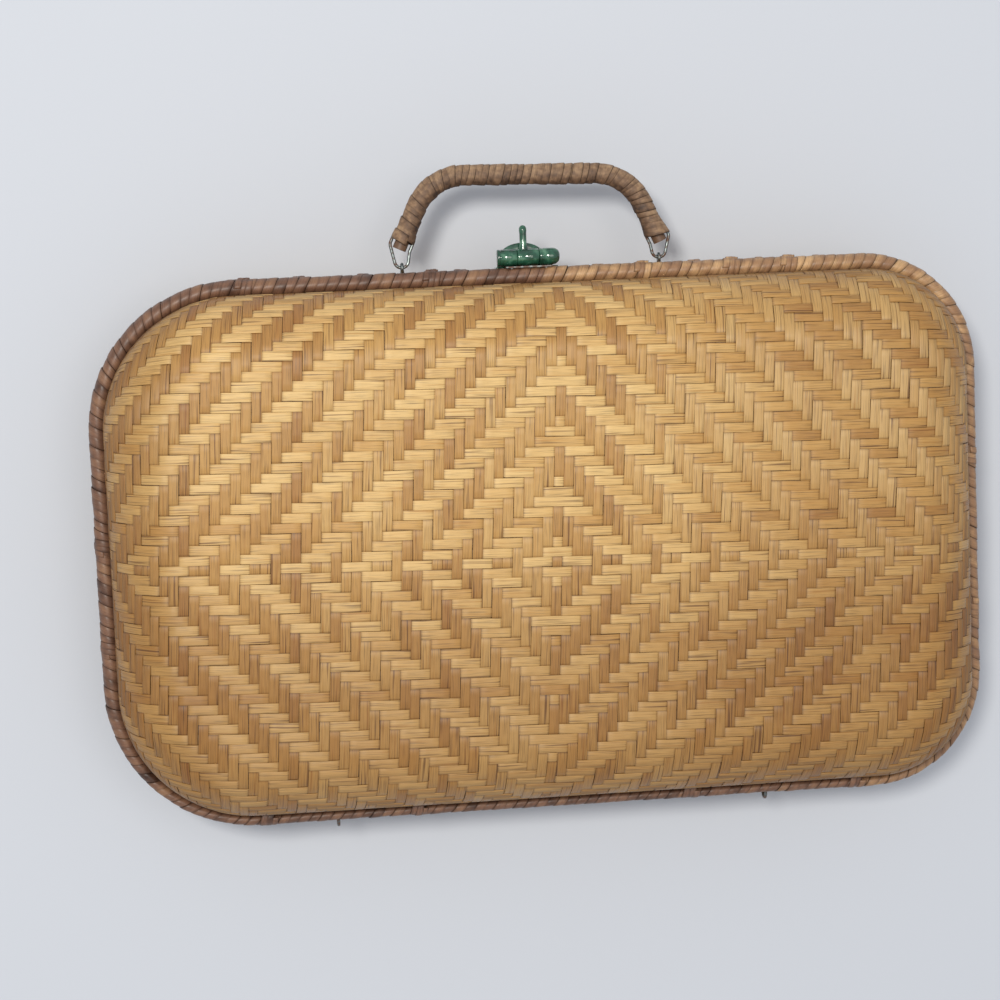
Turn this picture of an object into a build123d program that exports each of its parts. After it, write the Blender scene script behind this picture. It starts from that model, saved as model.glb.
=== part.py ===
from build123d import *

import math
import os

# Woven bamboo box bag: a clam shell case with a wrapped handle and a turn clasp.
# It lies on its back tray: X is the width, +Y points at the handle, +Z leaves the lid's face.
# Lengths are in millimetres. The origin is the middle of the flat base face.

# rims and outline
rim_width = 386.0
rim_height = 236.5
left_corner = 64.0
right_corner = 50.0
rim_radial = 7.5
rim_depth = 9.85
seam_z = 46.0
seam_gap = 0.15

# woven trays
tray_wall = 1.8
base_depth = seam_z - seam_gap
lid_depth = 45.5
tray_straight = 10.0
tray_taper = 6.0
tray_shoulder = 30.0
crown_radius = 4500.0

# hoops, wrap and ties
tie_thick = 0.8
tie_width = 5.0
inner_hoop_radial = 3.5
inner_hoop_depth = 9.0
wrap_skin = 1.0
rim_round = 3.0

# hinge rings
hinge_y = -(rim_height / 2 + 0.4)
hinge_x = 95.0
hinge_ring_radius = 3.0
wire_radius = 0.7
hinge_hole_radius = 1.0

# handle
pivot_x = 56.0
pivot_y = 120.0
pivot_z = 42.0
handle_ends = {-1: (-56.0, 130.0), 1: (56.0, 129.0)}
handle_tops = {-1: (-42.5, 159.0), 1: (43.5, 157.0)}
handle_bend = 23.0
handle_core_radius = 3.0
core_proud = 2.2
handle_radius = 4.8
binding_radius = 5.7
binding_length = 8.5
loop_wire_radius = 0.7
loop_spread = 4.6
loop_low = -1.5
loop_cross = 6.0
loop_bend = 3.0
eye_radius = 1.6
shank_radius = 0.9
shank_start_y = rim_height / 2 - 14.5

# clasp
clasp_x = -2.1
barrel_y = 122.6
barrel_z = 49.0
barrel_radius = 3.6
barrel_left = -13.4
barrel_right = 13.5
sleeve_half = 4.6
knuckle_start = 4.8
pin_radius = 1.0
pin_clearance = 0.06
stem_x = -1.8
stem_radius = 1.65
stem_length = 13.7
nib_reach = 4.7
plate_thick = 1.2
foot_low = 36.6
foot_width = 27.0
leaf_low = 43.6
leaf_high = 44.8
leaf_x = -2.1
leaf_y = 122.0
leaf_half_width = 10.2
leaf_half_height = 6.8
keeper_thick = 0.6
nail_radius = 0.8
nail_head_radius = 1.5
nail_head_thick = 0.4

# where the ties sit: side, and distance along that side from its middle
base_ties = [
    ("top", -128), ("top", -100), ("top", -72), ("top", -30), ("top", 30), ("top", 72),
    ("top", 100), ("top", 128), ("bottom", -128), ("bottom", -75), ("bottom", -45),
    ("bottom", -15), ("bottom", 15), ("bottom", 45), ("bottom", 75), ("bottom", 128),
    ("left", -45), ("left", 0), ("left", 45), ("right", -45), ("right", 0), ("right", 45),
]
lid_ties = [
    ("top", -124), ("top", -44), ("top", 47), ("top", 86), ("top", 111),
    ("bottom", -125), ("bottom", -60), ("bottom", 60), ("bottom", 135),
    ("left", 7.5), ("left", -37), ("right", 27.5), ("right", -40),
]

os.makedirs("parts", exist_ok=True)

lid_z = seam_z + seam_gap
base_z = seam_z - seam_gap


def outline(inset):
    """The case's outline drawn in by the inset, with wider corners on its left."""
    with BuildSketch() as shape:
        corners = Rectangle(rim_width - 2 * inset, rim_height - 2 * inset).vertices().sort_by(Axis.X)
        fillet(corners[:2], left_corner - inset)
        fillet(shape.vertices().sort_by(Axis.X)[-2:], right_corner - inset)
    return shape.sketch


def tray(inset, depth, crowned):
    """A solid tray form standing on its open edge, drawn in by the inset all round."""
    with BuildPart() as form:
        with BuildSketch():
            add(outline(rim_radial + inset))
        extrude(amount=tray_straight)
        with BuildSketch(Plane.XY.offset(tray_straight)):
            add(outline(rim_radial + inset))
        extrude(amount=depth - inset - tray_straight, taper=tray_taper)
        if crowned:
            with Locations((0, 0, depth - inset - crown_radius + inset)):
                Sphere(crown_radius - inset, mode=Mode.INTERSECT)
        top = form.faces().sort_by(Axis.Z)[-1]
        fillet(top.edges(), tray_shoulder - inset)
    return form.part


def tray_shell(depth, crowned):
    """The tray form with its inside taken out, leaving the woven wall."""
    with BuildPart() as shell:
        add(tray(0, depth, crowned))
        add(tray(tray_wall, depth, crowned), mode=Mode.SUBTRACT)
    return shell.part


def hoop(outer_inset, inner_inset, z_low, z_high):
    """A flat hoop following the rim's outline between two insets from its outside."""
    with BuildPart() as ring:
        with BuildSketch(Plane.XY.offset(z_low)):
            add(outline(outer_inset))
            add(outline(inner_inset), mode=Mode.SUBTRACT)
        extrude(amount=z_high - z_low)
    return ring.part


def cut(host, *tools):
    """The host with every tool's volume taken out of it."""
    with BuildPart() as result:
        add(host)
        for tool in tools:
            add(tool, mode=Mode.SUBTRACT)
    return result.part


def rim_tie(side, along, z_low, z_high):
    """One flat cane loop round the rim and through the tray's wall."""
    outer = rim_height / 2
    inner = outer - rim_radial - tray_wall - inner_hoop_radial - tie_thick
    turn = {"top": 0, "left": 90, "bottom": 180, "right": -90}[side]
    reach = (rim_width - rim_height) / 2 if side in ("left", "right") else 0
    slide = {"top": along, "left": along, "bottom": -along, "right": -along}[side]
    size_y = outer - inner
    size_z = z_high - z_low
    z_mid = (z_low + z_high) / 2
    with BuildPart() as loop:
        with Locations(Rotation(0, 0, turn) * Pos(slide, (outer + inner) / 2 + reach, z_mid)):
            Box(tie_width, size_y, size_z)
            Box(tie_width, size_y - 2 * tie_thick, size_z - 2 * tie_thick, mode=Mode.SUBTRACT)
    return loop.part


def rim_ties(places, z_low, z_high):
    """Every tie of one rim, as one piece of trim."""
    with BuildPart() as ties:
        for side, along in places:
            add(rim_tie(side, along, z_low, z_high))
    return ties.part


def hinge_torus(x, tube_radius):
    """A ring standing across the seam round the hinge line."""
    with BuildPart() as ring:
        with Locations(Location((x, hinge_y, seam_z), (0, 90, 0))):
            Torus(hinge_ring_radius, tube_radius)
    return ring.part


def cylinder_y(x, z, y_low, y_high, radius):
    """A round bar along Y."""
    with BuildPart() as bar:
        with Locations(Location((x, (y_low + y_high) / 2, z), (90, 0, 0))):
            Cylinder(radius, y_high - y_low)
    return bar.part


def cylinder_x(x_low, x_high, radius):
    """A round bar along the clasp's axis."""
    with BuildPart() as bar:
        with Locations(Location((clasp_x + (x_low + x_high) / 2, barrel_y, barrel_z), (0, 90, 0))):
            Cylinder(radius, x_high - x_low)
    return bar.part


def nail(x, z, face_y, tip_y):
    """A nail let in flush with the face it holds down."""
    with BuildPart() as body:
        add(cylinder_y(x, z, tip_y, face_y - nail_head_thick, nail_radius))
        add(cylinder_y(x, z, face_y - nail_head_thick, face_y, nail_head_radius))
    return body.part


def handle_eye(x):
    """A wire eye clinched through the rim, standing round the handle's pivot line."""
    with BuildPart() as eye:
        with Locations(Location((x, pivot_y, pivot_z), (0, 90, 0))):
            Torus(eye_radius, wire_radius)
        add(cylinder_y(x, pivot_z, shank_start_y, pivot_y - eye_radius + 0.2, shank_radius))
    return eye.part


def leg_frame(sign):
    """The leg's end point, its direction up the leg, and the direction across it."""
    end = Vector(*handle_ends[sign], pivot_z)
    top = Vector(*handle_tops[sign], pivot_z)
    along = (top - end).normalized()
    across = Vector(along.Y, -along.X, 0)
    return end, along, across


def handle_bar(radius, proud):
    """The bent handle rod at one radius, running past both ends by the proud length."""
    left_end, left_along, _ = leg_frame(-1)
    right_end, right_along, _ = leg_frame(1)
    corners = [
        tuple(left_end - left_along * proud),
        (*handle_tops[-1], pivot_z),
        (*handle_tops[1], pivot_z),
        tuple(right_end - right_along * proud),
    ]
    with BuildLine() as path:
        FilletPolyline(*corners, radius=handle_bend)
    with BuildPart() as bar:
        with BuildSketch(Plane(origin=path.line @ 0, z_dir=path.line % 0)):
            Circle(radius)
        sweep(path=path.line)
    return bar.part


def handle_loop(sign):
    """The steel stirrup that crosses one handle end and hangs in its eye."""
    end, along, across = leg_frame(sign)
    wide = [end + along * loop_low + across * side * loop_spread for side in (1, -1)]
    high = [end + along * loop_cross + across * side * loop_spread for side in (1, -1)]
    pivot = Vector(sign * pivot_x, pivot_y, pivot_z)
    low = pivot
    for _ in range(12):  # settles the corner whose rounded tip lies on the pivot
        first = (wide[0] - low).normalized()
        second = (wide[1] - low).normalized()
        middle = (first + second).normalized()
        half = math.acos(first.dot(second)) / 2
        low = pivot - middle * (loop_bend / math.sin(half) - loop_bend)
    corners = [high[0], wide[0], low, wide[1], high[1]]
    with BuildLine() as path:
        FilletPolyline(*[tuple(corner) for corner in corners], radius=loop_bend, close=True)
    with BuildPart() as loop:
        with BuildSketch(Plane(origin=path.line @ 0, z_dir=path.line % 0)):
            Circle(loop_wire_radius)
        sweep(path=path.line)
    return loop.part


def handle_binding(sign):
    """The tight cane collar round one handle end."""
    end, along, _ = leg_frame(sign)
    with BuildPart() as collar:
        with BuildSketch(Plane(origin=end, z_dir=along)):
            Circle(binding_radius)
            Circle(handle_radius, mode=Mode.SUBTRACT)
        extrude(amount=binding_length)
    return collar.part


def save(part, name):
    """Name one piece and write it out."""
    part.label = name
    export_step(part, f"parts/{name}.step")


# ties first, since the hoops and trays are slotted for them
base_tie_part = rim_ties(base_ties, seam_z - rim_depth - tie_thick, base_z)
lid_tie_part = rim_ties(lid_ties, lid_z, seam_z + rim_depth + tie_thick)

# hinge rings and the holes they run in
hinge_rings = {"left": hinge_torus(-hinge_x, wire_radius), "right": hinge_torus(hinge_x, wire_radius)}
hinge_holes = [hinge_torus(-hinge_x, hinge_hole_radius), hinge_torus(hinge_x, hinge_hole_radius)]

# handle eyes
eyes = {"left": handle_eye(-pivot_x), "right": handle_eye(pivot_x)}

# clasp fixings
foot_face = rim_height / 2 - tie_thick + plate_thick
keeper_face = rim_height / 2 + keeper_thick
with BuildPart() as plate_nails:
    for nail_x in (-11.5, 11.5):
        for nail_z in (38.6, 42.0):
            add(nail(clasp_x + nail_x, nail_z, foot_face, shank_start_y + 7.4))
with BuildPart() as keeper_nails:
    for nail_x in (-7.4, 7.4):
        add(nail(clasp_x + nail_x, 52.3, keeper_face, shank_start_y + 7.4))

# base tray, its hoops and ties
with BuildPart() as base_form:
    with Locations(Location((0, 0, base_z), (180, 0, 0))):
        add(tray_shell(base_depth, False))
base_shell = cut(base_form.part, base_tie_part, *eyes.values())
base_outer = hoop(tie_thick, rim_radial, seam_z - rim_depth, base_z)
base_outer = cut(base_outer, base_tie_part, plate_nails.part, *eyes.values(), *hinge_holes)
base_inner = hoop(
    rim_radial + tray_wall,
    rim_radial + tray_wall + inner_hoop_radial,
    base_z - inner_hoop_depth,
    base_z,
)
base_inner = cut(base_inner, base_tie_part, *eyes.values())

# lid tray, its hoops, wrap and ties
with BuildPart() as lid_form:
    with Locations((0, 0, lid_z)):
        add(tray_shell(lid_depth, True))
lid_shell = cut(lid_form.part, lid_tie_part)
lid_core = hoop(
    tie_thick + wrap_skin,
    rim_radial - wrap_skin,
    lid_z + wrap_skin,
    seam_z + rim_depth - wrap_skin,
)
with BuildPart() as wrap_form:
    add(hoop(tie_thick, rim_radial, lid_z, seam_z + rim_depth))
    high_edges = wrap_form.faces().sort_by(Axis.Z)[-1].outer_wire().edges()
    low_edges = wrap_form.faces().sort_by(Axis.Z)[0].outer_wire().edges()
    fillet(high_edges + low_edges, rim_round)
lid_wrap = cut(wrap_form.part, lid_core, lid_tie_part, keeper_nails.part, *hinge_holes)
lid_core = cut(lid_core, keeper_nails.part, *hinge_holes)
lid_inner = hoop(
    rim_radial + tray_wall,
    rim_radial + tray_wall + inner_hoop_radial,
    lid_z,
    lid_z + inner_hoop_depth,
)
lid_inner = cut(lid_inner, lid_tie_part)

# clasp plate: foot on the base rim, leaf standing out, webs up to the outer knuckles
with BuildPart() as plate:
    with Locations((clasp_x, foot_face - plate_thick / 2, (foot_low + leaf_high) / 2)):
        Box(foot_width, plate_thick, leaf_high - foot_low)
    with BuildSketch(Plane.XY.offset(leaf_low)):
        with Locations((clasp_x, (foot_face + leaf_y) / 2)):
            Rectangle(barrel_right - barrel_left, leaf_y - foot_face + 0.4)
        with Locations((clasp_x + leaf_x, leaf_y)):
            Ellipse(leaf_half_width, leaf_half_height)
        with Locations((0, foot_face - 10 - plate_thick)):
            Rectangle(60, 20, mode=Mode.SUBTRACT)
    extrude(amount=leaf_high - leaf_low)
    for low_x, high_x in ((barrel_left, -knuckle_start), (knuckle_start, barrel_right)):
        with Locations((clasp_x + (low_x + high_x) / 2, barrel_y, (leaf_high + barrel_z) / 2 - 0.1)):
            Box(high_x - low_x, 4.6, barrel_z - leaf_high + 0.2)
        add(cylinder_x(low_x, high_x, barrel_radius))
    add(cylinder_x(-30, 30, pin_radius), mode=Mode.SUBTRACT)
    add(plate_nails.part, mode=Mode.SUBTRACT)

# clasp pin with a collar at one end and a dome at the other
with BuildPart() as pin:
    add(cylinder_x(barrel_left - 1.0, barrel_right + 0.6, pin_radius))
    add(cylinder_x(barrel_left - 1.4, barrel_left, 3.1))
    with Locations((clasp_x + barrel_right, barrel_y, barrel_z)):
        Sphere(2.6)
    with Locations((clasp_x + barrel_right - 5, barrel_y, barrel_z)):
        Box(10, 12, 12, mode=Mode.SUBTRACT)
    add(cylinder_x(barrel_left - 1.0, barrel_right + 0.6, pin_radius))

# clasp lever: sleeve on the pin, stem to push and nib that drops in the keeper
with BuildPart() as lever:
    add(cylinder_x(-sleeve_half, sleeve_half, barrel_radius))
    stem_top = barrel_y + stem_length - stem_radius
    add(cylinder_y(clasp_x + stem_x, barrel_z, barrel_y, stem_top, stem_radius))
    with Locations((clasp_x + stem_x, stem_top, barrel_z)):
        Sphere(stem_radius)
    with Locations((clasp_x + 1.25, barrel_y, barrel_z + nib_reach / 2)):
        Box(5.5, 2.0, nib_reach)
    add(cylinder_x(-20, 20, pin_radius + pin_clearance), mode=Mode.SUBTRACT)

# keeper on the lid rim, with a window for the nib
with BuildPart() as keeper:
    with Locations((clasp_x, keeper_face - keeper_thick / 2, 50.3)):
        Box(20, keeper_thick, 8.0)
        with Locations((1.25, 0, -0.1)):
            Box(6.6, 4, 5.4, mode=Mode.SUBTRACT)
    add(keeper_nails.part, mode=Mode.SUBTRACT)

# handle: core, wrap, collars and the two stirrups that cross its ends
loops = {"left": handle_loop(-1), "right": handle_loop(1)}
handle_core = cut(handle_bar(handle_core_radius, core_proud), *loops.values())
handle_wrap = cut(handle_bar(handle_radius, 0), handle_bar(handle_core_radius, core_proud), *loops.values())

save(base_shell, "base_shell")
save(base_outer, "base_outer_hoop")
save(base_inner, "base_inner_hoop")
save(base_tie_part, "base_rim_ties")
save(hinge_rings["left"], "hinge_ring_left")
save(hinge_rings["right"], "hinge_ring_right")
save(eyes["left"], "handle_eye_left")
save(eyes["right"], "handle_eye_right")
save(plate.part, "clasp_plate")
save(pin.part, "clasp_pin")
save(plate_nails.part, "clasp_plate_nails")
save(lid_shell, "lid_shell")
save(lid_core, "lid_outer_hoop")
save(lid_inner, "lid_inner_hoop")
save(lid_wrap, "lid_rim_wrap")
save(lid_tie_part, "lid_rim_ties")
save(keeper.part, "clasp_keeper")
save(keeper_nails.part, "keeper_nails")
save(handle_core, "handle_core")
save(handle_wrap, "handle_wrap")
save(loops["left"], "handle_loop_left")
save(loops["right"], "handle_loop_right")
save(cut(handle_binding(-1), loops["left"]), "handle_binding_left")
save(cut(handle_binding(1), loops["right"]), "handle_binding_right")
save(lever.part, "clasp_lever")
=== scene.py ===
import math
import random

import bmesh
import bpy
from mathutils import Matrix, Vector, noise


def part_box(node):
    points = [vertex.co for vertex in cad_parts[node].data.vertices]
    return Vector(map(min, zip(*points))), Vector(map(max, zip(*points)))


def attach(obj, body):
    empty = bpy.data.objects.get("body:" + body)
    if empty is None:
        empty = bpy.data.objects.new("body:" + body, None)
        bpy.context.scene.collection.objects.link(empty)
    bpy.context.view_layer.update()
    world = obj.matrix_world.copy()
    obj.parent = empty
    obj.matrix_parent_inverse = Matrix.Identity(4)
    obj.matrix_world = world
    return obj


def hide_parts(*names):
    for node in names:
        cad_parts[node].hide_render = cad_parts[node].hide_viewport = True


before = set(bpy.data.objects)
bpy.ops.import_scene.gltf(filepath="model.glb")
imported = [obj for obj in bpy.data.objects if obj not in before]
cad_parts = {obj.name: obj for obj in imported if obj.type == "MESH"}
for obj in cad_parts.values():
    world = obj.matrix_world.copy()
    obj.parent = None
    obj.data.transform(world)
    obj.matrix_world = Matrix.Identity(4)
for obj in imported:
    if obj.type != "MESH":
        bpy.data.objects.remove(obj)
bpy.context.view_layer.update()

random.seed(11)
mm = 0.001
print("frame loaded")


def linearColour(hexText):
    channels = [int(hexText[k:k + 2], 16) / 255 for k in (1, 3, 5)]
    return [c / 12.92 if c <= 0.04045 else ((c + 0.055) / 1.055) ** 2.4 for c in channels] + [1.0]


def addNode(tree, kind, settings=None, links=None):
    node = tree.nodes.new(kind)
    for key, value in (settings or {}).items():
        if key == "stops":  # a colour ramp's stops, as place and hex colour
            marks = node.color_ramp.elements
            while len(marks) < len(value):
                marks.new(0.5)
            for mark, (place, hexText) in zip(marks, value):
                mark.position = place
                mark.color = linearColour(hexText)
        elif isinstance(key, str) and hasattr(node, key):
            setattr(node, key, value)
        else:
            node.inputs[key].default_value = value
    for socket, source in (links or {}).items():
        tree.links.new(source, node.inputs[socket])
    return node


def newMaterial(name):
    material = bpy.data.materials.new(name)
    material.use_nodes = True
    return material, material.node_tree, material.node_tree.nodes["Principled BSDF"]


def finishObject(name, bm, material, body, replaced=()):
    mesh = bpy.data.meshes.new(name)
    bm.to_mesh(mesh)
    bm.free()
    mesh.shade_smooth()
    mesh.materials.append(material)
    piece = bpy.data.objects.new(name, mesh)
    bpy.context.scene.collection.objects.link(piece)
    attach(piece, body)
    if replaced:
        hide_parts(*replaced)
    return piece


def smoothStep(low, high, value):
    t = min(max((value - low) / (high - low), 0.0), 1.0)
    return t * t * (3 - 2 * t)


# split bamboo, scraped and pressed: satin, with fibres along every strip
bambooLook = {
    # the last colour on the next line is the grey of the painted shade towards the bottom and the flanks
    "pale": "#E2BC7C", "straw": "#CB9D5A", "tan": "#AA7840", "brown": "#7A5230", "paintedFalloff": "#C8B8A2",
    # the brown of the painted shade where strips dip under the crossing strip
    "dipShadeBrown": "#6E5236",
    "fibreMm": 0.34, "fibreLengthMm": 14.0, "splitMm": 1.0, "stainMm": 30.0, "roughness": 0.5,
}


def bambooMaterial():
    material, tree, shader = newMaterial("splitBambooSatin")
    look = bambooLook
    uv = addNode(tree, "ShaderNodeUVMap", {"uv_map": "stripUv"})
    place = addNode(tree, "ShaderNodeTexCoord")
    data = addNode(tree, "ShaderNodeAttribute", {"attribute_name": "stripData"})
    parts = addNode(tree, "ShaderNodeSeparateColor", {}, {0: data.outputs["Color"]})
    fibreMap = addNode(tree, "ShaderNodeMapping",
                       {"Scale": (10 / look["fibreLengthMm"], 10 / look["fibreMm"], 1)},
                       {"Vector": uv.outputs["UV"]})
    fibre = addNode(tree, "ShaderNodeTexNoise", {"Scale": 1.0, "Detail": 3.0, "Roughness": 0.6},
                    {"Vector": fibreMap.outputs[0]})
    streakMap = addNode(tree, "ShaderNodeMapping", {"Scale": (0.25, 10 / look["splitMm"], 1)},
                        {"Vector": uv.outputs["UV"]})
    streak = addNode(tree, "ShaderNodeTexNoise", {"Scale": 1.0, "Detail": 2.0},
                     {"Vector": streakMap.outputs[0]})
    stain = addNode(tree, "ShaderNodeTexNoise", {"Scale": 1000 / look["stainMm"], "Detail": 3.0},
                    {"Vector": place.outputs["Object"]})
    # the first channel of stripData holds random tone plus the painted sheen that sets rows and columns
    # apart
    tone = addNode(tree, "ShaderNodeMath", {"operation": "MULTIPLY_ADD", 1: 0.34},
                   {0: streak.outputs["Fac"], 2: parts.outputs[0]})
    tone = addNode(tree, "ShaderNodeMath", {"operation": "MULTIPLY_ADD", 1: 0.40},
                   {0: stain.outputs["Fac"], 2: tone.outputs[0]})
    base = addNode(tree, "ShaderNodeValToRGB",
                   {"stops": [(0.30, look["pale"]), (0.62, look["straw"]), (0.95, look["tan"])]},
                   {"Fac": tone.outputs[0]})
    fibreMask = addNode(tree, "ShaderNodeValToRGB",
                        {"stops": [(0.34, "#8A8A8A"), (0.48, "#F2F2F2"), (0.66, "#FFFFFF")]},
                        {"Fac": fibre.outputs["Fac"]})
    splitMask = addNode(tree, "ShaderNodeValToRGB",
                        {"stops": [(0.30, "#8C7460"), (0.42, "#FFFFFF"), (0.60, "#FFFFFF"),
                                   (0.72, "#DCCBB4")]},
                        {"Fac": streak.outputs["Fac"]})
    fibred = addNode(tree, "ShaderNodeMix", {"data_type": "RGBA", "blend_type": "MULTIPLY", 0: 0.6},
                     {6: base.outputs[0], 7: fibreMask.outputs[0]})
    split = addNode(tree, "ShaderNodeMix", {"data_type": "RGBA", "blend_type": "MULTIPLY", 0: 0.85},
                    {6: fibred.outputs[2], 7: splitMask.outputs[0]})
    # brown mixed in by the second channel: browning low at the rim, plus the columns' share of the painted
    # sheen contrast
    brownedAndSheen = addNode(tree, "ShaderNodeMix", {"data_type": "RGBA", "blend_type": "MIX",
                                           7: linearColour(look["brown"])},
                   {0: parts.outputs[1], 6: split.outputs[2]})
    # painted shade: a brown multiply darkens each strip where it dips under the crossing strip
    dipShade = addNode(tree, "ShaderNodeMix", {"data_type": "RGBA", "blend_type": "MULTIPLY",
                                           7: linearColour(look["dipShadeBrown"])},
                   {0: parts.outputs[2], 6: brownedAndSheen.outputs[2]})
    # painted shade: a grey multiply darkens the weave towards the bottom, both flanks and low on the walls
    falloffShade = addNode(tree, "ShaderNodeMix", {"data_type": "RGBA", "blend_type": "MULTIPLY",
                                           7: linearColour(look["paintedFalloff"])},
                   {0: data.outputs["Alpha"], 6: dipShade.outputs[2]})
    tree.links.new(falloffShade.outputs[2], shader.inputs["Base Color"])
    rough = addNode(tree, "ShaderNodeMapRange",
                    {"To Min": look["roughness"] - 0.08, "To Max": look["roughness"] + 0.16},
                    {"Value": fibre.outputs["Fac"]})
    tree.links.new(rough.outputs[0], shader.inputs["Roughness"])
    along = addNode(tree, "ShaderNodeTangent", {"direction_type": "UV_MAP", "uv_map": "stripUv"})
    tree.links.new(along.outputs[0], shader.inputs["Tangent"])
    shader.inputs["Anisotropic"].default_value = 0.7
    shader.inputs["Anisotropic Rotation"].default_value = 0.25  # the gloss spreads across the fibres
    shader.inputs["Specular IOR Level"].default_value = 0.55
    bump = addNode(tree, "ShaderNodeBump", {"Strength": 0.35, "Distance": 0.12 * mm},
                   {"Height": fibre.outputs["Fac"]})
    tree.links.new(bump.outputs[0], shader.inputs["Normal"])
    shader.inputs["IOR"].default_value = 1.5
    return material


# cane peel: the glossy skin of rattan, varnished and darkened with age
caneLook = {
    # edge is the near black of the painted shade in the grooves between turns
    "fibreMm": 0.3, "edge": "#20120C",
}


def caneMaterial(name, stops, stainMm, roughness, coat):
    material, tree, shader = newMaterial(name)
    look = caneLook
    uv = addNode(tree, "ShaderNodeUVMap", {"uv_map": "stripUv"})
    place = addNode(tree, "ShaderNodeTexCoord")
    data = addNode(tree, "ShaderNodeAttribute", {"attribute_name": "stripData"})
    parts = addNode(tree, "ShaderNodeSeparateColor", {}, {0: data.outputs["Color"]})
    fibreMap = addNode(tree, "ShaderNodeMapping", {"Scale": (1.4, 10 / look["fibreMm"], 1)},
                       {"Vector": uv.outputs["UV"]})
    fibre = addNode(tree, "ShaderNodeTexNoise", {"Scale": 1.0, "Detail": 3.0, "Roughness": 0.6},
                    {"Vector": fibreMap.outputs[0]})
    stain = addNode(tree, "ShaderNodeTexNoise", {"Scale": 1000 / stainMm, "Detail": 4.0},
                    {"Vector": place.outputs["Object"]})
    tone = addNode(tree, "ShaderNodeMath", {"operation": "MULTIPLY_ADD", 1: 0.6},
                   {0: stain.outputs["Fac"], 2: parts.outputs[0]})
    base = addNode(tree, "ShaderNodeValToRGB", {"stops": stops}, {"Fac": tone.outputs[0]})
    fibreMask = addNode(tree, "ShaderNodeValToRGB", {"stops": [(0.32, "#7A7A7A"), (0.52, "#FFFFFF")]},
                        {"Fac": fibre.outputs["Fac"]})
    fibred = addNode(tree, "ShaderNodeMix", {"data_type": "RGBA", "blend_type": "MULTIPLY", 0: 0.5},
                     {6: base.outputs[0], 7: fibreMask.outputs[0]})
    # painted shade: the peel's sides and underside, sunk into the grooves between turns, are mixed towards
    # near black
    edge = addNode(tree, "ShaderNodeMix", {"data_type": "RGBA", "blend_type": "MIX",
                                           7: linearColour(look["edge"])},
                   {0: parts.outputs[2], 6: fibred.outputs[2]})
    tree.links.new(edge.outputs[2], shader.inputs["Base Color"])
    rough = addNode(tree, "ShaderNodeMapRange", {"To Min": roughness - 0.06, "To Max": roughness + 0.2},
                    {"Value": stain.outputs["Fac"]})
    tree.links.new(rough.outputs[0], shader.inputs["Roughness"])
    bump = addNode(tree, "ShaderNodeBump", {"Strength": 0.4, "Distance": 0.1 * mm},
                   {"Height": fibre.outputs["Fac"]})
    tree.links.new(bump.outputs[0], shader.inputs["Normal"])
    shader.inputs["IOR"].default_value = 1.5
    shader.inputs["Coat Weight"].default_value = coat
    shader.inputs["Coat Roughness"].default_value = 0.3
    return material


# a flat hoop of bamboo: grain runs round the case at one height
def hoopMaterial(name, stops):
    material, tree, shader = newMaterial(name)
    place = addNode(tree, "ShaderNodeTexCoord")
    grainMap = addNode(tree, "ShaderNodeMapping", {"Scale": (18, 18, 1400)},
                       {"Vector": place.outputs["Object"]})
    grain = addNode(tree, "ShaderNodeTexNoise", {"Scale": 1.0, "Detail": 4.0},
                    {"Vector": grainMap.outputs[0]})
    stain = addNode(tree, "ShaderNodeTexNoise", {"Scale": 28.0, "Detail": 4.0},
                    {"Vector": place.outputs["Object"]})
    both = addNode(tree, "ShaderNodeMath", {"operation": "MULTIPLY_ADD", 1: 0.6},
                   {0: grain.outputs["Fac"], 2: stain.outputs["Fac"]})
    base = addNode(tree, "ShaderNodeValToRGB", {"stops": stops}, {"Fac": both.outputs[0]})
    tree.links.new(base.outputs[0], shader.inputs["Base Color"])
    bump = addNode(tree, "ShaderNodeBump", {"Strength": 0.3, "Distance": 0.15 * mm},
                   {"Height": grain.outputs["Fac"]})
    tree.links.new(bump.outputs[0], shader.inputs["Normal"])
    shader.inputs["Roughness"].default_value = 0.5
    return material


# drawn steel wire, dulled and a little rusty
def steelMaterial(name, lowHex, highHex, rustShare):
    material, tree, shader = newMaterial(name)
    place = addNode(tree, "ShaderNodeTexCoord")
    spots = addNode(tree, "ShaderNodeTexNoise", {"Scale": 420.0, "Detail": 4.0},
                    {"Vector": place.outputs["Object"]})
    base = addNode(tree, "ShaderNodeValToRGB",
                   {"stops": [(rustShare, "#5A3B28"), (rustShare + 0.12, lowHex), (0.7, highHex)]},
                   {"Fac": spots.outputs["Fac"]})
    tree.links.new(base.outputs[0], shader.inputs["Base Color"])
    metal = addNode(tree, "ShaderNodeMapRange", {"From Min": rustShare, "From Max": rustShare + 0.12},
                    {"Value": spots.outputs["Fac"]})
    tree.links.new(metal.outputs[0], shader.inputs["Metallic"])
    rough = addNode(tree, "ShaderNodeMapRange",
                    {"From Min": 0.3, "From Max": 0.7, "To Min": 0.5, "To Max": 0.28},
                    {"Value": spots.outputs["Fac"]})
    tree.links.new(rough.outputs[0], shader.inputs["Roughness"])
    return material


# green glass-like glaze: deep colour under a clear gloss
def glazeMaterial():
    material, tree, shader = newMaterial("greenGlossGlaze")
    place = addNode(tree, "ShaderNodeTexCoord")
    cloud = addNode(tree, "ShaderNodeTexNoise", {"Scale": 260.0, "Detail": 3.0},
                    {"Vector": place.outputs["Object"]})
    base = addNode(tree, "ShaderNodeValToRGB",
                   {"stops": [(0.35, "#163A2A"), (0.55, "#265842"), (0.75, "#5E8A70")]},
                   {"Fac": cloud.outputs["Fac"]})
    tree.links.new(base.outputs[0], shader.inputs["Base Color"])
    shader.inputs["Roughness"].default_value = 0.14
    shader.inputs["Coat Weight"].default_value = 0.8
    shader.inputs["Coat Roughness"].default_value = 0.06
    return material


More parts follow.
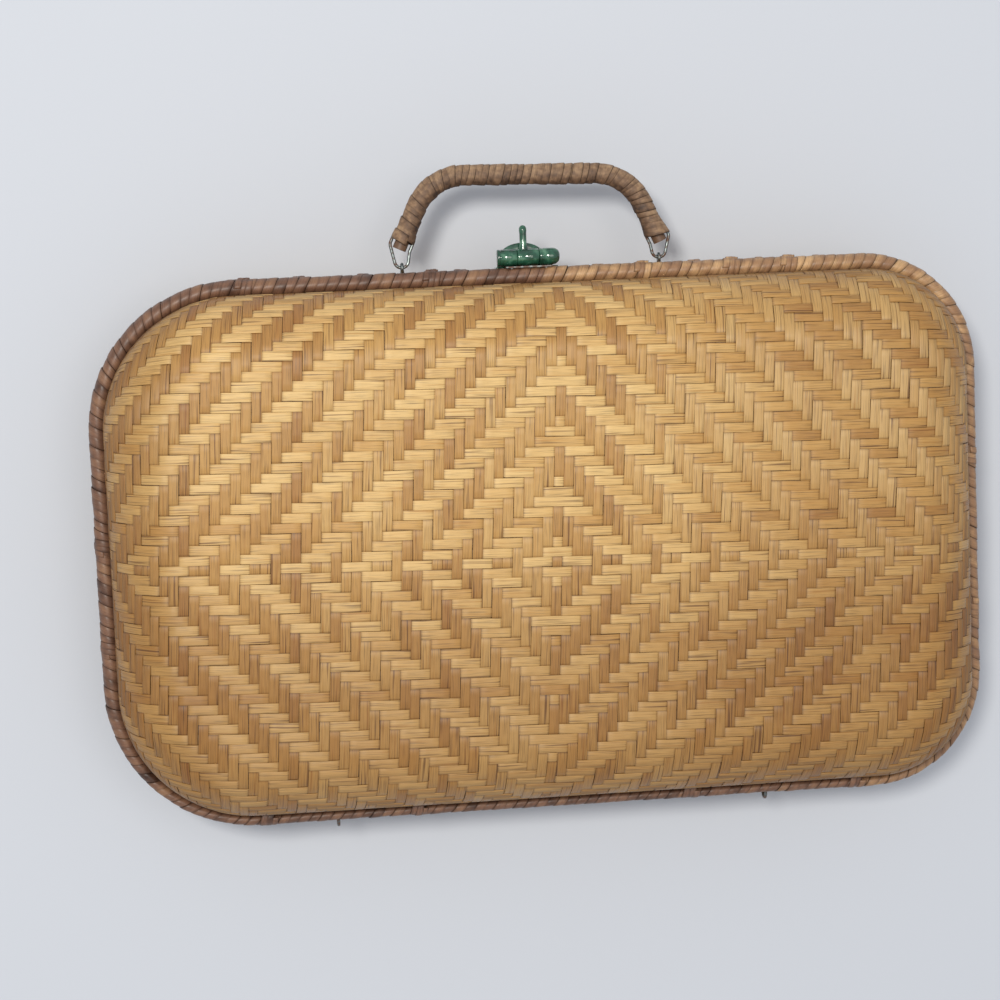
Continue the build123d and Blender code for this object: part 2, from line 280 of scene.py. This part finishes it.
bamboo = bambooMaterial()
rimCaneStops = [(0.30, "#40281D"), (0.55, "#7E5A45"), (0.85, "#A57D59"), (1.0, "#CFA677")]
rimCane = caneMaterial("agedCanePeel", rimCaneStops, 6.0, 0.42, 0.08)
handleCaneStops = [(0.30, "#463226"), (0.50, "#775B45"), (0.68, "#9D7E60"), (0.92, "#BF9F7C")]
handleCane = caneMaterial("wornHandleCane", handleCaneStops, 2.2, 0.6, 0.0)
hoopBamboo = hoopMaterial("planedBambooHoop", [(0.45, "#5A3E28"), (0.75, "#8C6840"), (1.0, "#AE8856")])
cutCane = hoopMaterial("cutCaneEnd", [(0.45, "#3A281D"), (0.75, "#5E4534"), (1.0, "#7A5C44")])
steel = steelMaterial("dullSteelWire", "#7F8685", "#A9B0AE", 0.38)
nailSteel = steelMaterial("oldNailSteel", "#6A6E6C", "#8B908E", 0.44)
glaze = glazeMaterial()
print("materials ready")


# one ribbon along its rows, each row being the ring of points of its section
def addRibbon(bm, rows, lengths, breadth, data, edges=None):
    uvLayer = bm.loops.layers.uv.get("stripUv") or bm.loops.layers.uv.new("stripUv")
    dataLayer = bm.verts.layers.float_color.get("stripData") or bm.verts.layers.float_color.new("stripData")
    around = len(rows[0])
    grid = bmesh.ops.create_grid(bm, x_segments=around, y_segments=len(rows) - 1, size=1.0)
    verts = grid["verts"]
    shift = random.uniform(0, 50)
    drift = random.uniform(0, 50)
    spot = {}
    for rowIndex, row in enumerate(rows):
        for k in range(around + 1):
            vert = verts[rowIndex * (around + 1) + k]
            vert.co = row[k % around] * mm
            tone, ageAndSheen, dark, falloffShade = data[rowIndex]
            vert[dataLayer] = (tone, ageAndSheen, max(dark, edges[k % around] if edges else 0.0), falloffShade)
            spot[vert] = (lengths[rowIndex] / 10 + shift, breadth[k] / 10 + drift)
    for face in {face for vert in verts for face in vert.link_faces}:
        for loop in face.loops:
            loop[uvLayer].uv = spot[loop.vert]


def closeRibbons(bm, sides):  # joins each ribbon's seam and caps its two ends
    bmesh.ops.remove_doubles(bm, verts=bm.verts, dist=1e-7)
    rims = [edge for edge in bm.edges if edge.is_boundary]
    bmesh.ops.holes_fill(bm, edges=rims, sides=sides)
    bmesh.ops.recalc_face_normals(bm, faces=bm.faces)


# the two woven trays, each of two layers of strips in twill
weave = {
    "pitch": 4.2, "thick": 0.5, "lift": 0.36, "skin": 0.72, "widthShare": 0.99,
    "rowTurn": -1.5, "columnTurn": -3.4, "centre": (0.5, -4.2), "endHeight": 4.5,
    "puff": 1.3, "hold": 0.30, "columns": 52, "rows": 37, "columnReach": 38, "rowReach": 56,
}
lowLid, highLid = [Vector(corner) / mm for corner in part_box("lid_shell")]
lowBase, highBase = [Vector(corner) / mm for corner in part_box("base_shell")]
trays = {
    "lid": {"seam": lowLid.z, "side": 1, "depth": highLid.z - lowLid.z, "crown": 4500.0,
            "halfX": highLid.x, "halfY": highLid.y},
    "base": {"seam": highBase.z, "side": -1, "depth": highBase.z - lowBase.z, "crown": 0.0,
             "halfX": highBase.x, "halfY": highBase.y},
}
form = {
    "leftCorner": 56.5, "rightCorner": 42.5, "straight": 10.0, "taper": math.radians(6), "shoulder": 30.0,
}


# a place on the unrolled tray, in mm from its middle, taken to the tray's surface.
def trayPoint(tray, u, v):
    corner = form["leftCorner"] if u < 0 else form["rightCorner"]
    taper = form["taper"]
    shoulder = form["shoulder"]
    coreY = tray["halfY"] - corner
    cu = min(max(u, form["leftCorner"] - tray["halfX"]), tray["halfX"] - form["rightCorner"])
    cv = min(max(v, -coreY), coreY)
    du = u - cu
    dv = v - cv
    r = math.hypot(du, dv)
    if r > 1e-9:
        du /= r
        dv /= r
    top = tray["depth"]
    hinge = top - form["straight"] - shoulder
    reach = corner - (hinge * math.tan(taper) + shoulder / math.cos(taper))
    if tray["crown"]:
        along = min(r, reach)
        sag = ((cu + du * along) ** 2 + (cv + dv * along) ** 2) / (2 * tray["crown"])
        top -= sag
        reach = corner - ((hinge - sag) * math.tan(taper) + shoulder / math.cos(taper))
    s = r - reach
    steep = math.pi / 2 - taper
    if s <= 0:
        rho, h, tilt = r, top, 0.0
    elif s < shoulder * steep:
        tilt = s / shoulder
        rho = reach + shoulder * math.sin(tilt)
        h = top - shoulder * (1 - math.cos(tilt))
    else:
        tilt = steep
        t = s - shoulder * steep
        h = top - shoulder * (1 - math.cos(steep)) - t * math.cos(taper)
        rho = reach + shoulder * math.sin(steep) + t * math.sin(taper)
        if h < form["straight"]:
            h = form["straight"] - (form["straight"] - h) / math.cos(taper)
            rho = corner
            tilt = math.pi / 2
    puff = weave["puff"] * smoothStep(6, 13, h) * (1 - smoothStep(16, 34, h))
    normal = Vector((du * math.sin(tilt), dv * math.sin(tilt), tray["side"] * math.cos(tilt)))
    point = Vector((cu + du * rho, cv + dv * rho, tray["seam"] + tray["side"] * h))
    return point + normal * puff, normal, h


def overRow(i, j):  # whether the row strip lies over the column strip where they cross
    i = abs(i)
    if j == 0:
        return i % 6 in (1, 2, 3)
    return (2 - abs(j) - i) % 6 in (0, 1, 2)


# how the strips are coloured: painted sheen that sets one layer's tone against the other's, browning at the
# rim, and painted shade towards the bottom, the flanks and low on the walls
def stripToneAndLight(tray, columns, middle, h):
    # browning low at the rim; the columns' extra brown is part of the painted sheen contrast
    ageAndSheen = 0.34 * (1 - smoothStep(10, 34, h)) + (0.16 if columns else 0.03)
    # painted shade: darker towards the bottom, both flanks and low on the walls
    paintedFalloff = 0.85 * smoothStep(30, -80, middle.y) + 0.45 * smoothStep(20, 150, middle.x)
    paintedFalloff += 0.65 * smoothStep(-135, -178, middle.x) + 0.3 * (1 - smoothStep(12, 30, h))
    turn = 0.0
    if tray["side"] > 0:  # painted sheen: rows and columns trade which is lighter towards the right corner on the handle side
        turn = smoothStep(0, 130, middle.x) * smoothStep(-50, 70, middle.y)
    # painted sheen: columns darker than rows, columns lighter and rows darker low on the tray, columns
    # darker high on it
    sheenLean = (0.17 - 0.36 * turn) if columns else (-0.11 + 0.30 * turn)
    sheenLean += (-0.13 if columns else 0.05) * smoothStep(-40, -95, middle.y)
    sheenLean += 0.10 * smoothStep(55, 100, middle.y) * columns
    return sheenLean, ageAndSheen, min(1.1, paintedFalloff)


def weaveStrips(name, tray, columns, body, replaced):
    pitch = weave["pitch"]
    rowTurn = math.radians(weave["rowTurn"])
    columnTurn = math.radians(weave["columnTurn"])
    rowWay = Vector((math.cos(rowTurn), math.sin(rowTurn)))
    columnWay = Vector((-math.sin(columnTurn), math.cos(columnTurn)))
    runWay, stepWay = (columnWay, rowWay) if columns else (rowWay, columnWay)
    centre = Vector(weave["centre"])
    bm = bmesh.new()
    count = weave["columns"] if columns else weave["rows"]
    reach = weave["columnReach"] if columns else weave["rowReach"]
    for index in range(-count, count + 1):
        wander = random.uniform(0, 100)
        width = pitch * weave["widthShare"] * random.uniform(0.965, 1.02)
        tone = random.gauss(0.0, 0.09)
        thick = weave["thick"] * random.uniform(0.9, 1.1)

        def uvAt(t):
            drift = 0.10 * math.sin(t * 0.045 + wander) + 0.07 * math.sin(t * 0.17 + wander * 2)
            return centre + stepWay * (index * pitch + drift) + runWay * t

        stations = []
        for cross in range(-reach, reach + 1):
            row = overRow(index, cross) if columns else overRow(cross, index)
            over = (not row) if columns else row
            for nudge in (-weave["hold"], weave["hold"]):
                stations.append(((cross + nudge) * pitch, 1.0 if over else -1.0))
        kept = [s for s in stations if trayPoint(tray, *uvAt(s[0]))[2] > weave["endHeight"]]
        if len(kept) < 3:
            continue
        rows = []
        lengths = []
        data = []
        for t, state in kept:
            middle = uvAt(t)
            point, normal, h = trayPoint(tray, *middle)
            left = trayPoint(tray, *(middle - stepWay * width / 2))[0]
            right = trayPoint(tray, *(middle + stepWay * width / 2))[0]
            lift = weave["lift"] * state - weave["skin"]
            across = (right - left) / 2
            mid = point + normal * lift
            low = (left + right) / 2 + normal * lift
            rows.append([
                low - across * 0.92 - normal * thick * 0.5,
                low - across + normal * thick * 0.24,
                mid - across * 0.9 + normal * thick * 0.44,
                mid + across * 0.9 + normal * thick * 0.44,
                low + across + normal * thick * 0.24,
                low + across * 0.92 - normal * thick * 0.5,
            ])
            lengths.append(t)
            sheenLean, ageAndSheen, paintedFalloff = stripToneAndLight(tray, columns, middle, h)
            # the third value marks where a strip dips under, for the painted shade there
            data.append((0.12 + tone + sheenLean, ageAndSheen, 0.75 if state < 0 else 0.0, paintedFalloff))
        half = width / 2
        breadth = [-half * 0.92, -half, -half * 0.9, half * 0.9, half, half * 0.92, half * 0.96]
        addRibbon(bm, rows, lengths, breadth, data)
    closeRibbons(bm, 6)
    print(name, len(bm.faces), "faces")
    return finishObject(name, bm, bamboo, body, replaced)


weaveStrips("lid_weave_columns", trays["lid"], True, "lid", ("lid_shell",))
weaveStrips("lid_weave_rows", trays["lid"], False, "lid", ())
weaveStrips("base_weave_columns", trays["base"], True, "base", ("base_shell",))
weaveStrips("base_weave_rows", trays["base"], False, "base", ())
print("trays woven")

# the rims: cane wound round a path that goes round the case
rimHalf = Vector(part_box("base_rim_ties")[1]) / mm
rimForm = {"leftCorner": 64.0, "rightCorner": 50.0}


# round the case, counter-clockwise seen from the lid, starting at the handle side's middle
def rimPath(inset):
    halfX = rimHalf.x - inset
    halfY = rimHalf.y - inset
    left = rimForm["leftCorner"] - inset
    right = rimForm["rightCorner"] - inset
    quarter = math.pi / 2
    stretches = [  # length, start or corner's centre, and quarter turns at the start
        (halfX - left, (0, halfY), 1),
        (left * quarter, (left - halfX, halfY - left), 1),
        (2 * (halfY - left), (-halfX, halfY - left), 2),
        (left * quarter, (left - halfX, left - halfY), 2),
        (2 * halfX - left - right, (left - halfX, -halfY), 3),
        (right * quarter, (halfX - right, right - halfY), 3),
        (2 * (halfY - right), (halfX, right - halfY), 4),
        (right * quarter, (halfX - right, halfY - right), 4),
        (halfX - right, (halfX - right, halfY), 5),
    ]
    total = sum(length for length, _, _ in stretches)

    def at(s):
        s = (s + total) % total
        for number, (length, start, side) in enumerate(stretches):
            if s <= length + 1e-9:
                break
            s -= length
        angle = side * quarter
        place = Vector((start[0], start[1], 0))
        if number % 2:  # the odd stretches are the round corners
            corner = left if number < 4 else right
            angle += s / corner
            out = Vector((math.cos(angle), math.sin(angle), 0))
            return place + out * corner, out
        out = Vector((math.cos(angle), math.sin(angle), 0))
        return place + Vector((-out.y, out.x, 0)) * s, out

    marks = {"top": 0.0, "left": stretches[0][0] + stretches[1][0] + stretches[2][0] / 2}
    marks["bottom"] = sum(stretch[0] for stretch in stretches[:4]) + halfX - left
    marks["right"] = sum(stretch[0] for stretch in stretches[:6]) + stretches[6][0] / 2
    return at, total, marks


def rimSection(inset, height):  # the rim's path with its section axes: outwards and up
    at, total, _ = rimPath(inset)

    def frameAt(s):
        point, out = at(s)
        return point + Vector((0, 0, height)), out, Vector((0, 0, 1))

    return frameAt, total


# a cane peel's section as (share of half width, height in mm), and how much painted shade each point gets
# where it sinks into the grooves between turns
peelProfile = [(-1.0, -0.26), (-0.84, 0.0), (-0.35, 0.08), (0.35, 0.08), (0.84, 0.0), (1.0, -0.26),
               (0.0, -0.5)]
peelGrooveShade = [0.95, 0.25, 0.0, 0.0, 0.25, 0.95, 0.95]


# a peel wound in a helix round a path, with lumps and sway from noise
def windCane(bm, frameAt, start, turns, spec):
    steps = spec["steps"]
    rows = []
    lengths = []
    data = []
    for k in range(int(turns * steps) + 1):
        b = k / steps
        turn = b + 0.37
        lump = noise.noise(Vector((b * 0.9, spec["seed"], 0.3))) * spec["rough"]
        sway = noise.noise(Vector((b * 0.55, spec["seed"] + 9, 0.7))) * spec["sway"]
        angle = 2 * math.pi * b + spec.get("phase", 0.0)
        s = start + b * spec["pitch"] + sway - spec["slant"] * math.cos(angle)
        half = spec["width"] / 2 * (1 + 0.10 * noise.noise(Vector((b * 1.7, spec["seed"] + 4, 0))))
        ring = []
        for across, height in spec["profile"]:
            place = s + across * half
            origin, right, up = frameAt(place)
            c, d = math.cos(angle), math.sin(angle)
            grow = height + lump + spec["tilt"] * across
            size = spec["size"](place) if "size" in spec else (0.0, 0.0)
            outward = c * (spec["radial"] + size[0] + grow) + size[1]
            ring.append(origin + right * outward + up * d * (spec["upright"] + size[0] + grow))
        rows.append(ring)
        lengths.append(b * 2 * math.pi * spec["radial"])
        tone = spec["tone"](s) + 0.22 * noise.noise(Vector((math.floor(turn) * 3.1, spec["seed"], 5)))
        # painted light: the winding's side away from the case is lighter, the side towards it darker
        tone += spec.get("paintedSideLight", 0.0) * math.cos(angle)
        data.append((tone, 0.0, 0.0, 1.0))
    breadth = [across * spec["width"] / 2 for across, _ in spec["profile"]]
    addRibbon(bm, rows, lengths, breadth + [breadth[0]], data, peelGrooveShade)


def middleHeight(nodeName):
    low, high = [Vector(corner).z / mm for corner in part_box(nodeName)]
    return low / 2 + high / 2


lidRimMid = middleHeight("lid_rim_wrap")
baseRimMid = middleHeight("base_outer_hoop")
rimMiddle = rimPath(4.0)[0]


def lidRimTone(s):  # reddish brown on the handle side's left, tan on its right, grey brown below
    point, _ = rimMiddle(s)
    top = smoothStep(60, 100, point.y)
    right = smoothStep(-8, 14, point.x)
    return 0.22 + 0.36 * right * top + 0.30 * smoothStep(130, 150, point.x) * (1 - top)


def lidRimSize(s):  # the rope draws thin and away from the tray on the hinge side
    point, _ = rimMiddle(s)
    thin = smoothStep(-60, -108, point.y)
    return -1.3 * thin, 1.3 * thin


rimWind = {
    "pitch": 4.5, "width": 5.3, "radial": 3.65, "upright": 4.6, "steps": 16, "slant": 0.9, "tilt": -0.12,
    "rough": 0.35, "sway": 1.0, "seed": 3.0, "profile": peelProfile, "tone": lidRimTone, "size": lidRimSize,
}
rimFrame, rimLength = rimSection(3.8, lidRimMid)
bm = bmesh.new()
windCane(bm, rimFrame, 0.0, round(rimLength / rimWind["pitch"]), rimWind)
closeRibbons(bm, 8)
finishObject("lid_rim_winding", bm, rimCane, "lid", ("lid_rim_wrap", "lid_outer_hoop"))


tieWind = {
    "pitch": 2.3, "width": 3.1, "upright": 4.85, "steps": 24, "slant": 0.5, "tilt": 0.0, "rough": 0.5,
    "sway": 0.8, "profile": peelProfile, "tone": lidRimTone, "phase": 0.5,
}


def tiePlace(inset, side, along):  # length round the rim's path of a place on one side
    forward = 1 if side in ("bottom", "right") else -1
    return rimPath(inset)[2][side] + forward * along


lidTies = [("top", x) for x in (-124, -44, 47, 86, 111)]
lidTies += [("bottom", x) for x in (-125, -60, 60, 135)]
lidTies += [("left", 7.5), ("left", -37), ("right", 27.5), ("right", -40)]
baseTies = [("top", x) for x in (-128, -100, -72, -30, 30, 72, 100, 128)]
baseTies += [("bottom", x) for x in (-128, -75, -45, -15, 15, 45, 75, 128)]
baseTies += [(side, y) for side in ("left", "right") for y in (-45, 0, 45)]

tieSets = {
    "lid": {"ties": lidTies, "height": lidRimMid + 0.1, "inset": 3.9, "radial": 4.05},
    "base": {"ties": baseTies, "height": baseRimMid - 0.1, "inset": 5.6, "radial": 5.6},
}
for rimName, tieSet in tieSets.items():
    bm = bmesh.new()
    tieFrame, _ = rimSection(tieSet["inset"], tieSet["height"])
    for number, (side, along) in enumerate(tieSet["ties"]):
        spec = dict(tieWind, seed=number * 2.7, radial=tieSet["radial"])
        windCane(bm, tieFrame, tiePlace(tieSet["inset"], side, along) - 2.0, 2.2, spec)
        if rimName == "lid" and side == "top":  # the tie's knot stands out on the handle side
            knot = dict(spec, pitch=1.1, width=1.9, radial=1.3, upright=1.9, rough=0.5, steps=16)
            knotFrame, _ = rimSection(0.6, lidRimMid - 0.6)
            windCane(bm, knotFrame, -along - 2.2 + 1.2 * random.random(), 3.4, knot)
    closeRibbons(bm, 8)
    finishObject(rimName + "_tie_windings", bm, rimCane, rimName, (rimName + "_rim_ties",))
print("rims wound")

# the handle: a bent rod wound with cane, level bar and splayed legs
handleForm = {
    "rightEnd": (56.0, 129.0), "rightTop": (43.5, 157.0),
    "leftTop": (-42.5, 159.0), "leftEnd": (-56.0, 130.0), "z": 42.0,
    "bend": 23.0, "flare": 0.9, "flareLength": 9.0,
}


def handlePath():  # from the right end, over the bar, to the left end
    corners = [Vector(handleForm[key]) for key in ("rightEnd", "rightTop", "leftTop", "leftEnd")]
    ways = [(corners[k + 1] - corners[k]).normalized() for k in range(3)]
    runs = [(corners[k + 1] - corners[k]).length for k in range(3)]
    bend = handleForm["bend"]
    pieces = []
    begin = 0.0
    for k in range(3):
        turn = ways[k].angle(ways[k + 1]) if k < 2 else 0.0
        cut = bend * math.tan(turn / 2)
        pieces.append(("line", runs[k] - begin - cut, corners[k] + ways[k] * begin, ways[k]))
        if k < 2:
            pieces.append(("arc", bend * turn, corners[k + 1] - ways[k] * cut, ways[k]))
        begin = cut
    total = sum(piece[1] for piece in pieces)

    def at(s):
        for kind, length, start, way in pieces:
            if s <= length or (kind, length, start, way) == pieces[-1]:
                break
            s -= length
        if kind == "line":
            point, heading = start + way * s, way
        else:
            angle = s / bend
            inward = Vector((-way.y, way.x))
            heading = way * math.cos(angle) + inward * math.sin(angle)
            point = start + way * bend * math.sin(angle) + inward * bend * (1 - math.cos(angle))
        place = Vector((point.x, point.y, handleForm["z"]))
        return place, Vector((heading.y, -heading.x, 0)), Vector((0, 0, 1))

    return at, total


handleAt, handleLength = handlePath()


def handleSize(s):  # the winding thickens where it is tied off at both ends
    away = min(s, handleLength - s)
    return handleForm["flare"] * (1 - smoothStep(0, handleForm["flareLength"], away)), 0.0


handleWind = {
    "pitch": 2.9, "width": 4.6, "radial": 4.4, "upright": 4.4, "steps": 20, "slant": 0.5, "tilt": -0.2,
    # the 0.14 on the next line sets the painted light on the winding's outer side and shade on its inner
    # side
    "rough": 0.4, "sway": 1.6, "paintedSideLight": 0.14, "seed": 21.0,
    "profile": [(x, h * 0.8) for x, h in peelProfile],
    "tone": lambda s: 0.22, "size": handleSize,
}
bm = bmesh.new()
windCane(bm, handleAt, 2.4, (handleLength - 4.8) / handleWind["pitch"], handleWind)
closeRibbons(bm, 8)
finishObject("handle_winding", bm, handleCane, "handle",
             ("handle_wrap", "handle_binding_left", "handle_binding_right"))
print("handle wound")

# the turn clasp: a leaf with two knuckles, a lever on a pin between them
claspForm = {
    "x": -2.1, "y": 122.6, "z": 49.0, "radius": 3.6, "left": -13.4, "right": 13.5, "sleeve": 4.65,
    "stemX": -1.8, "stemRadius": 1.6, "stemLength": 13.7,
    "nibLow": (0.2, -1.0, 1.5), "nibHigh": (2.3, 1.0, 3.7),
    "leafX": -2.1, "leafY": 122.0, "leafHalf": (10.2, 6.8), "leafLow": 43.6, "leafHigh": 44.8,
    "footLow": 36.6, "footWidth": 27.0, "footFace": 118.65, "footThick": 1.2, "grooveDepth": 0.22,
}


def lathe(bm, centre, way, profile):  # a profile of (length, radius) spun about the way
    side = Vector((0, 0, 1))
    made = [bm.verts.new((centre + way * length + side * radius) * mm) for length, radius in profile]
    edges = [bm.edges.new(pair) for pair in zip(made, made[1:])]
    bmesh.ops.spin(bm, geom=made + edges, cent=centre * mm, axis=way, angle=2 * math.pi, steps=28,
                   use_merge=True)


def softBox(bm, low, high, edge):  # a box with rounded edges
    low, high = Vector(low), Vector(high)
    place = Matrix.Translation((low + high) / 2 * mm) @ Matrix.Diagonal((*((high - low) * mm), 1))
    made = bmesh.ops.create_cube(bm, size=1.0, matrix=place)["verts"]
    edges = list({link for vert in made for link in vert.link_edges})
    bmesh.ops.bevel(bm, geom=edges, offset=edge * mm, affect="EDGES", segments=3, profile=0.5, material=-1)


def knuckleProfile(low, high, radius, dome):  # a barrel length with a fine groove near its low end
    groove = radius - claspForm["grooveDepth"]
    points = [(low, 0.0), (low, radius - 0.3), (low + 0.3, radius), (low + 1.2, radius),
              (low + 1.4, groove), (low + 1.6, groove), (low + 1.8, radius)]
    if dome:
        for a in (0.0, 0.4, 0.8, 1.1, 1.35):
            points.append((high - 3.2 + 3.2 * math.sin(a), radius * math.cos(a) ** 0.7))
    else:
        points += [(high - 0.3, radius), (high, radius - 0.3)]
    return points + [(high, 0.0)]


def claspPlate():
    f = claspForm
    bm = bmesh.new()
    axis = Vector((f["x"], f["y"], f["z"]))
    wayX = Vector((1, 0, 0))
    lathe(bm, axis, wayX, knuckleProfile(f["left"], -f["sleeve"] - 0.15, f["radius"], False))
    lathe(bm, axis, wayX, knuckleProfile(f["sleeve"] + 0.15, f["right"] + 0.3, f["radius"], True))
    leafMiddle = Vector((f["x"] + f["leafX"], f["leafY"], (f["leafLow"] + f["leafHigh"]) / 2))
    leafPlace = Matrix.Translation(leafMiddle * mm)
    leafSize = Matrix.Diagonal((f["leafHalf"][0], f["leafHalf"][1], 1, 1))
    leafThick = (f["leafHigh"] - f["leafLow"]) * mm
    leaf = bmesh.ops.create_cone(bm, cap_ends=True, segments=40, radius1=mm, radius2=mm, depth=leafThick,
                                 matrix=leafPlace @ leafSize)["verts"]
    rims = list({edge for vert in leaf for edge in vert.link_edges if len(edge.link_faces) == 2})
    rims = [edge for edge in rims if abs(edge.verts[0].co.z - edge.verts[1].co.z) < 1e-7]
    bmesh.ops.bevel(bm, geom=rims, offset=0.4 * mm, affect="EDGES", segments=2, profile=0.5, material=-1)
    half = f["footWidth"] / 2
    softBox(bm, (f["x"] - half, f["footFace"] - f["footThick"], f["footLow"]),
            (f["x"] + half, f["footFace"], f["leafHigh"]), 0.4)
    for low, high in ((f["left"] + 0.3, -f["sleeve"] - 0.5), (f["sleeve"] + 0.5, f["right"] - 2.6)):
        softBox(bm, (f["x"] + low, f["footFace"] - 0.4, f["leafLow"]),
                (f["x"] + high, f["y"] + 0.6, f["z"] - f["radius"] + 1.2), 0.3)
    bmesh.ops.remove_doubles(bm, verts=bm.verts, dist=1e-7)
    bmesh.ops.recalc_face_normals(bm, faces=bm.faces)
    finishObject("clasp_plate_glazed", bm, glaze, "base", ("clasp_plate",))


def claspPin():
    f = claspForm
    bm = bmesh.new()
    ends = (f["left"] + 0.1, f["right"] - 0.4)
    profile = [(ends[0], 0.0), (ends[0], 0.9), (ends[0] + 0.1, 1.0)]
    profile += [(ends[1] - 0.1, 1.0), (ends[1], 0.9), (ends[1], 0.0)]
    lathe(bm, Vector((f["x"], f["y"], f["z"])), Vector((1, 0, 0)), profile)
    bmesh.ops.remove_doubles(bm, verts=bm.verts, dist=1e-7)
    bmesh.ops.recalc_face_normals(bm, faces=bm.faces)
    finishObject("clasp_pin_glazed", bm, glaze, "base", ("clasp_pin",))


def claspLever():
    f = claspForm
    bm = bmesh.new()
    axis = Vector((f["x"], f["y"], f["z"]))
    lathe(bm, axis, Vector((1, 0, 0)), knuckleProfile(-f["sleeve"], f["sleeve"], f["radius"], False))
    thin = f["stemRadius"]
    top = f["stemLength"]
    stem = [(0.0, thin * 1.25), (f["radius"] + 0.4, thin * 1.2), (f["radius"] + 2.2, thin * 0.95)]
    stem += [(top - 3.5, thin * 0.95), (top - 2.4, thin * 1.04), (top - 1.2, thin * 0.98)]
    stem += [(top - 0.5, thin * 0.72), (top - 0.1, thin * 0.34)]
    lathe(bm, axis + Vector((f["stemX"], 0, 0)), Vector((0, 1, 0)), [(0.0, 0.0)] + stem + [(top, 0.0)])
    softBox(bm, axis + Vector(f["nibLow"]), axis + Vector(f["nibHigh"]), 0.4)
    bmesh.ops.remove_doubles(bm, verts=bm.verts, dist=1e-7)
    bmesh.ops.recalc_face_normals(bm, faces=bm.faces)
    finishObject("clasp_lever_glazed", bm, glaze, "clasp_lever", ("clasp_lever",))


claspPlate()
claspPin()
claspLever()
print("clasp shaped")

# pieces that keep their own meshes and only get a finish
finishes = {
    "base_outer_hoop": hoopBamboo, "base_inner_hoop": hoopBamboo, "lid_inner_hoop": hoopBamboo,
    "handle_core": cutCane, "handle_eye_left": steel, "handle_eye_right": steel,
    "handle_loop_left": steel, "handle_loop_right": steel,
    "hinge_ring_left": nailSteel, "hinge_ring_right": nailSteel,
    "clasp_keeper": nailSteel, "clasp_plate_nails": nailSteel, "keeper_nails": nailSteel,
}
for nodeName, finish in finishes.items():
    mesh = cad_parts[nodeName].data
    mesh.materials.clear()
    mesh.materials.append(finish)

# stage, light and camera
stage = {
    "floorHex": "#CBCFD7", "worldHex": "#E4E8EE", "worldStrength": 0.66, "size": 6.0,
    "tiltX": -5.6, "tiltY": 6.45, "roll": 2.34, "distance": 1.05,
    "aimX": -18.1, "aimY": 17.8, "aimZ": 46.0, "spanMm": 435.6, "sensor": 36.0,
}

floorMaterial, floorTree, floorShader = newMaterial("paleTable")
floorShader.inputs["Base Color"].default_value = linearColour(stage["floorHex"])
floorShader.inputs["Roughness"].default_value = 0.9
bm = bmesh.new()
bmesh.ops.create_grid(bm, x_segments=2, y_segments=2, size=stage["size"] / 2)
mesh = bpy.data.meshes.new("floor")
bm.to_mesh(mesh)
bm.free()
mesh.materials.append(floorMaterial)
floor = bpy.data.objects.new("floor", mesh)
bpy.context.scene.collection.objects.link(floor)

world = bpy.data.worlds.new("softRoom")
bpy.context.scene.world = world
world.use_nodes = True
sky = world.node_tree.nodes["Background"]
sky.inputs["Color"].default_value = linearColour(stage["worldHex"])
sky.inputs["Strength"].default_value = stage["worldStrength"]


def addLight(name, place, aim, size, power, hexText):
    lamp = bpy.data.lights.new(name, "AREA")
    lamp.shape = "DISK"
    lamp.size = size
    lamp.energy = power
    lamp.color = linearColour(hexText)[:3]
    holder = bpy.data.objects.new(name, lamp)
    holder.location = place
    holder.rotation_euler = (Vector(aim) - Vector(place)).to_track_quat("-Z", "Y").to_euler()
    bpy.context.scene.collection.objects.link(holder)


addLight("windowLight", (-0.45, 0.45, 1.75), (0, 0, 0), 0.30, 18.5, "#FFFBF2")
addLight("ceilingLight", (0.20, 0.30, 1.85), (0, 0, 0), 0.9, 5.0, "#FFF8EE")

camera = bpy.data.cameras.new("viewCamera")
camera.sensor_width = stage["sensor"]
camera.lens = stage["sensor"] * stage["distance"] / (stage["spanMm"] * mm)
eye = bpy.data.objects.new("viewCamera", camera)
bpy.context.scene.collection.objects.link(eye)
away = Vector((math.sin(math.radians(stage["tiltX"])), math.sin(math.radians(stage["tiltY"])), 0))
away.z = math.sqrt(1 - away.x ** 2 - away.y ** 2)
aim = Vector((stage["aimX"], stage["aimY"], stage["aimZ"])) * mm
roll = math.radians(stage["roll"])
right = Vector((math.sin(roll), math.cos(roll), 0)).cross(away).normalized()
up = away.cross(right)
turned = Matrix((right, up, away)).transposed().to_4x4()
eye.matrix_world = Matrix.Translation(aim + away * stage["distance"]) @ turned
bpy.context.scene.camera = eye
bpy.context.scene.view_settings.view_transform = "Standard"
print("camera and light set")
